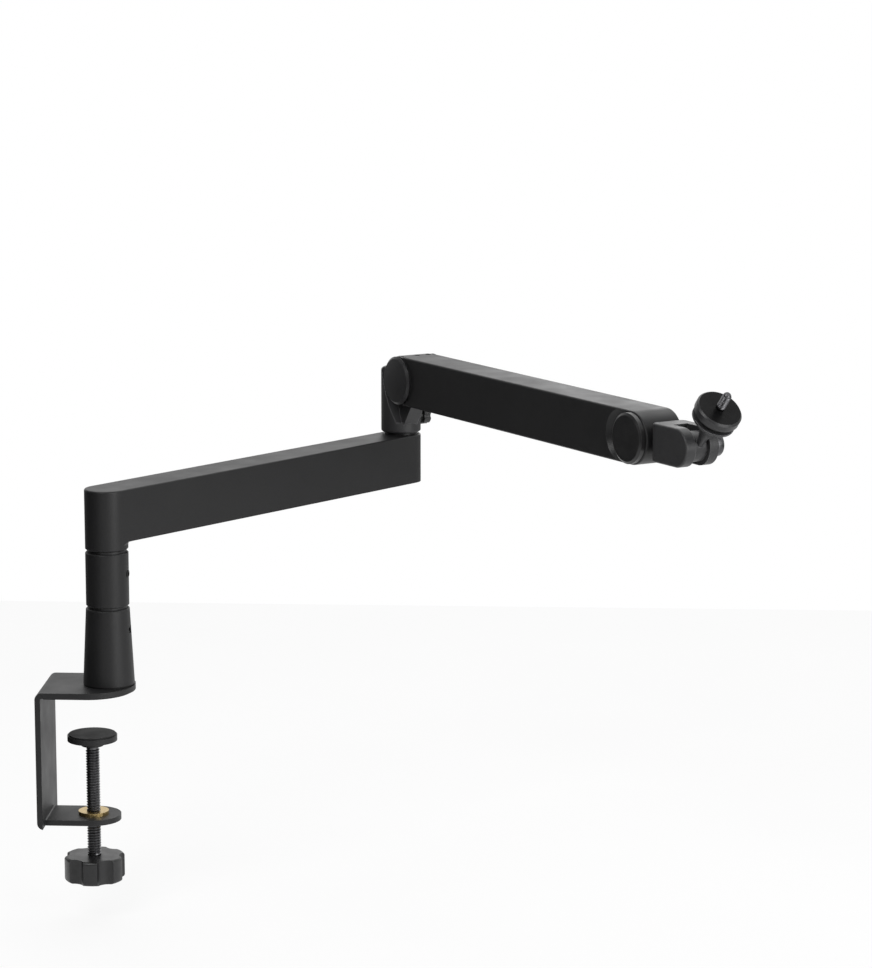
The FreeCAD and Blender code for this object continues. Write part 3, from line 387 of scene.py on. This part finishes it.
# Screws, in mm from tip to head along their own axes
ELBOW = Vector(JOINTS["elbow_swivel"]["pos_m"])
ALONG = Vector(JOINTS["head_roll"]["axis"])
NEAR = Vector(JOINTS["elbow_tilt"]["axis"])
HINGE = Vector(JOINTS["mic_tilt"]["pos_m"])
SCREW_YAW = math.radians(-8)
SCREW_AXIS = Vector((math.cos(SCREW_YAW), math.sin(SCREW_YAW), 0))
BASE_SCREW_Z = 46 * MM
RISER_SCREW_Z = 86.6 * MM
TENSION_Z = 210.5 * MM - ELBOW.z
TENSION_REACH = 25 * MM
TENSION_OFFSETS = (0, 10 * MM)
CLEVIS_ROOT = 23.4 * MM
TENSION_ROW = ELBOW + ALONG * TENSION_REACH + Vector((0, 0, TENSION_Z))
CLEVIS_BOLT = [(2.6, -12), (3, -11.6), (3, 14), (8.2, 14), (8.5, 14.5), (8.5, 21.2), (8.2, 21.7), (7.7, 22)]
CLEVIS_ROOT_SCREW = [(1.7, -11), (2, -10.6), (2, 11), (3.5, 11), (3.5, 13.1), (3.1, 13.5)]


def set_screw(tip, end, radius=3.0):
    return [(radius - 0.6, tip), (radius, tip + 0.6), (radius, end - 0.35), (radius - 0.35, end)]


def add_screws(name, node, body, profile, hexagon, depth, spots, finish=None):
    """One piece of socket screws, each at a (point, axis)."""
    bm = bmesh.new()
    for pos, axis in spots:
        known = set(bm.verts)
        add_socket_screw(bm, profile, hexagon, depth)
        fresh = [vert for vert in bm.verts if vert not in known]
        bmesh.ops.transform(bm, matrix=place(pos, axis), verts=fresh)
    add_piece(name, bm, Matrix(), "steel", body, node, finish)


add_screws("base_set_screw", "base_lock_screw", "base", set_screw(10, 15.9), hexagon=1.6, depth=3.0,
           spots=[((0, 0, BASE_SCREW_Z), SCREW_AXIS)], finish=BLACKENED)
add_screws("riser_set_screw", "riser_lock_screw", "base", set_screw(7.1, 15.8), hexagon=1.6, depth=3.0,
           spots=[((0, 0, RISER_SCREW_Z), SCREW_AXIS)], finish=BLACKENED)
add_screws("tension_set_screws", "tension_screws", "upper_arm", set_screw(0, 1.1, 2.3),
           hexagon=1.3, depth=0.8,
           spots=[(TENSION_ROW - NEAR * offset, UP) for offset in TENSION_OFFSETS], finish=BLACKENED)
add_screws("clevis_cap_screw", "clevis_bolt", "clevis", CLEVIS_BOLT, hexagon=2.9, depth=4,
           spots=[(HINGE, -NEAR)])
add_screws("clevis_root_cap_screw", "clevis_root_screw", "clevis", CLEVIS_ROOT_SCREW, hexagon=1.7, depth=1.7,
           spots=[(HINGE - ALONG * CLEVIS_ROOT, -NEAR)])

# Round caps of the tilt pivot: a disc with a shallow bevel, set off from its foot by a groove
CAP_R = 18.7
GROOVE_R = 16.8
CAP = [(CAP_R, 12.5), (CAP_R, 14.7), (GROOVE_R, 14.8), (GROOVE_R, 16.6), (18.6, 16.6),
       (CAP_R, 16.7), (18.65, 16.9), (17.1, 18.25), (16.9, 18.42), (16.6, 18.5)]
for name, node, axis in (("near_cap", "tilt_cap_near", NEAR), ("far_cap", "tilt_cap_far", -NEAR)):
    bm = bmesh.new()
    add_turned(bm, CAP, CAP_RING)
    cap_frame = place(JOINTS["elbow_tilt"]["pos_m"], axis)
    add_piece(name, bm, cap_frame, "black_aluminium", "upper_arm", node, CAP_COAT)

# Thumb wheel: a coated rim with a skirt round the soft ring, and a smooth pad on its face, painted near-black and
# dull as painted shade
WHEEL_BORE = 3.06
WHEEL_SKIRT = 13
WHEEL_R = 16.38
WHEEL_LOW = 39.2
SKIRT_LOW = 37.7
WHEEL_TOP = 44.3
WHEEL = [(WHEEL_BORE, WHEEL_LOW), (WHEEL_SKIRT, WHEEL_LOW), (WHEEL_SKIRT, SKIRT_LOW),
         (WHEEL_R - 0.5, SKIRT_LOW), (WHEEL_R, SKIRT_LOW + 0.5), (WHEEL_R, WHEEL_TOP - 1.4),
         (WHEEL_R - 1.2, WHEEL_TOP), (WHEEL_BORE, WHEEL_TOP)]
SHADED_FACE_SLOT = 1
bm = bmesh.new()
add_band(bm, WHEEL, FINE_RING)
# The face pad takes the painted-shade finish
for face in bm.faces:
    if min(vert.co.z for vert in face.verts) > (WHEEL_TOP - 0.1) * MM:
        face.material_index = SHADED_FACE_SLOT
wheel = add_piece("thumb_wheel", bm, stem_frame, "black_aluminium", "wheel", "mount_wheel", CAP_COAT)
wheel.data.materials.append(WHEEL_FACE_SHADE)


# Stage: plain pale floor, soft light and the camera

CENTRE = (CAD_LOW + CAD_HIGH) / 2
# Name, place, width and depth in metres, and power in watts
LAMPS = (
    ("top_box", (0.2, 0.9, 2.2), 2.6, 2.0, 24),
    ("right_box", (1.7, -1.3, 0.6), 1.4, 1.4, 32),
    ("left_box", (-0.45, -1.4, 1.6), 1.1, 0.9, 22),
    ("back_box", (1.1, 3.0, 0.95), 2.0, 1.0, 9),
)
for name, pos, width, depth, power in LAMPS:
    lamp = bpy.data.lights.new(name, "AREA")
    lamp.shape = "RECTANGLE"
    lamp.size = width
    lamp.size_y = depth
    lamp.energy = power
    holder = bpy.data.objects.new(name, lamp)
    holder.location = pos
    holder.rotation_euler = (CENTRE - Vector(pos)).to_track_quat("-Z", "Y").to_euler()
    holder.visible_camera = False
    link(holder)


def math_node(tree, operation, first, second):
    node = tree.nodes.new("ShaderNodeMath")
    node.operation = operation
    tree.links.new(first, node.inputs[0])
    tree.links.new(second, node.inputs[1])
    return node.outputs[0]


def seen_directly(tree):
    """1 for rays from the camera and for mirror and glass rays, 0 for the rest."""
    path = tree.nodes.new("ShaderNodeLightPath")
    mirror = math_node(tree, "MAXIMUM", path.outputs["Is Glossy Ray"], path.outputs["Is Transmission Ray"])
    return math_node(tree, "MAXIMUM", path.outputs["Is Camera Ray"], mirror)


def facing(tree, direction, low, high, start, stop):
    """Value that grows with a sky direction's closeness to another."""
    coords = tree.nodes.new("ShaderNodeTexCoord")
    dot = tree.nodes.new("ShaderNodeVectorMath")
    dot.operation = "DOT_PRODUCT"
    tree.links.new(coords.outputs["Generated"], dot.inputs[0])
    dot.inputs[1].default_value = direction
    return spread(tree, dot.outputs["Value"], low, high, start, stop)


# White all round for the camera; as light, bright behind and to the right and dim towards the left and front
BRIGHT_SIDE = (0.4, 0.91, 0.1)
SKY_SHARE = 0.5
world = bpy.data.worlds.new("studio")
bpy.context.scene.world = world
world.use_nodes = True
sky = world.node_tree
back = sky.nodes["Background"]
back.inputs["Color"].default_value = (1, 1, 1, 1)
wall = facing(sky, BRIGHT_SIDE, low=0.1, high=1.0, start=-0.15, stop=0.6)
ground = facing(sky, UP, low=0.2, high=1.0, start=-0.12, stop=0.0)
soft = math_node(sky, "MULTIPLY", wall, ground)
level = math_node(sky, "MULTIPLY", soft, spread(sky, seen_directly(sky), SKY_SHARE, 1.0, 0.0, 1.0))
camera_ray = sky.nodes.new("ShaderNodeLightPath").outputs["Is Camera Ray"]
sky.links.new(math_node(sky, "MAXIMUM", level, camera_ray), back.inputs["Strength"])

# The floor ends just behind the clamp and widens to the front; the clamp's knob clears it, screwed right down
FLOOR_OUTLINE = ((-0.3, 1.07), (-0.3, -0.5), (-1.1, -2.6), (2.4, -2.6), (2.4, -1.1), (0.72, 1.07))
FLOOR_Z = CAD_LOW.z + JOINTS["clamp_slide"]["range_m"][0] - 0.5 * MM
FLOOR_DARK = (0.86, 0.86, 0.86)
FLOOR_LIGHT = (0.9, 0.9, 0.9)
FLOOR_ROUGH = 0.8
# Share of white near the object, and the distances between which the floor fades to full white
FLOOR_WHITE = 0.85
FADE_START = 1.1
FADE_STOP = 1.5
bm = bmesh.new()
bm.faces.new([bm.verts.new((x, y, FLOOR_Z)) for x, y in FLOOR_OUTLINE])
floor_mesh = bpy.data.meshes.new("floor")
bm.to_mesh(floor_mesh)
bm.free()
floor = bpy.data.objects.new("floor", floor_mesh)
link(floor)
paint, tree, shader = new_shader("pale_floor")
mottle = tones(tree, noise(tree, FLOOR_CLOUD, 2), FLOOR_DARK, FLOOR_LIGHT)
tree.links.new(mottle, shader.inputs["Base Color"])
shader.inputs["Roughness"].default_value = FLOOR_ROUGH
reach = tree.nodes.new("ShaderNodeVectorMath")
reach.operation = "DISTANCE"
tree.links.new(tree.nodes.new("ShaderNodeTexCoord").outputs["Object"], reach.inputs[0])
reach.inputs[1].default_value = (CENTRE.x, CENTRE.y, FLOOR_Z)
fade = spread(tree, reach.outputs["Value"], FLOOR_WHITE, 1.0, FADE_START, FADE_STOP)
glow = tree.nodes.new("ShaderNodeEmission")
mix = tree.nodes.new("ShaderNodeMixShader")
tree.links.new(math_node(tree, "MULTIPLY", seen_directly(tree), fade), mix.inputs["Fac"])
tree.links.new(shader.outputs["BSDF"], mix.inputs[1])
tree.links.new(glow.outputs["Emission"], mix.inputs[2])
tree.links.new(mix.outputs["Shader"], tree.nodes["Material Output"].inputs["Surface"])
floor_mesh.materials.append(paint)

# The camera's place in metres, where it looks, and its focal length and sensor in mm
CAMERA_SPOT = (0.35670, -2.29381, 0.56845)
YAW = math.radians(93.0087)
PITCH = math.radians(-10.2378)
FOCAL_LENGTH = 122.29
SENSOR_WIDTH = 36
lens = bpy.data.cameras.new("camera")
lens.lens = FOCAL_LENGTH
lens.sensor_width = SENSOR_WIDTH
camera = bpy.data.objects.new("camera", lens)
camera.location = CAMERA_SPOT
aim = Vector((math.cos(YAW) * math.cos(PITCH), math.sin(YAW) * math.cos(PITCH), math.sin(PITCH)))
camera.rotation_euler = aim.to_track_quat("-Z", "Y").to_euler()
link(camera)
bpy.context.scene.camera = camera
bpy.context.scene.view_settings.view_transform = "Standard"
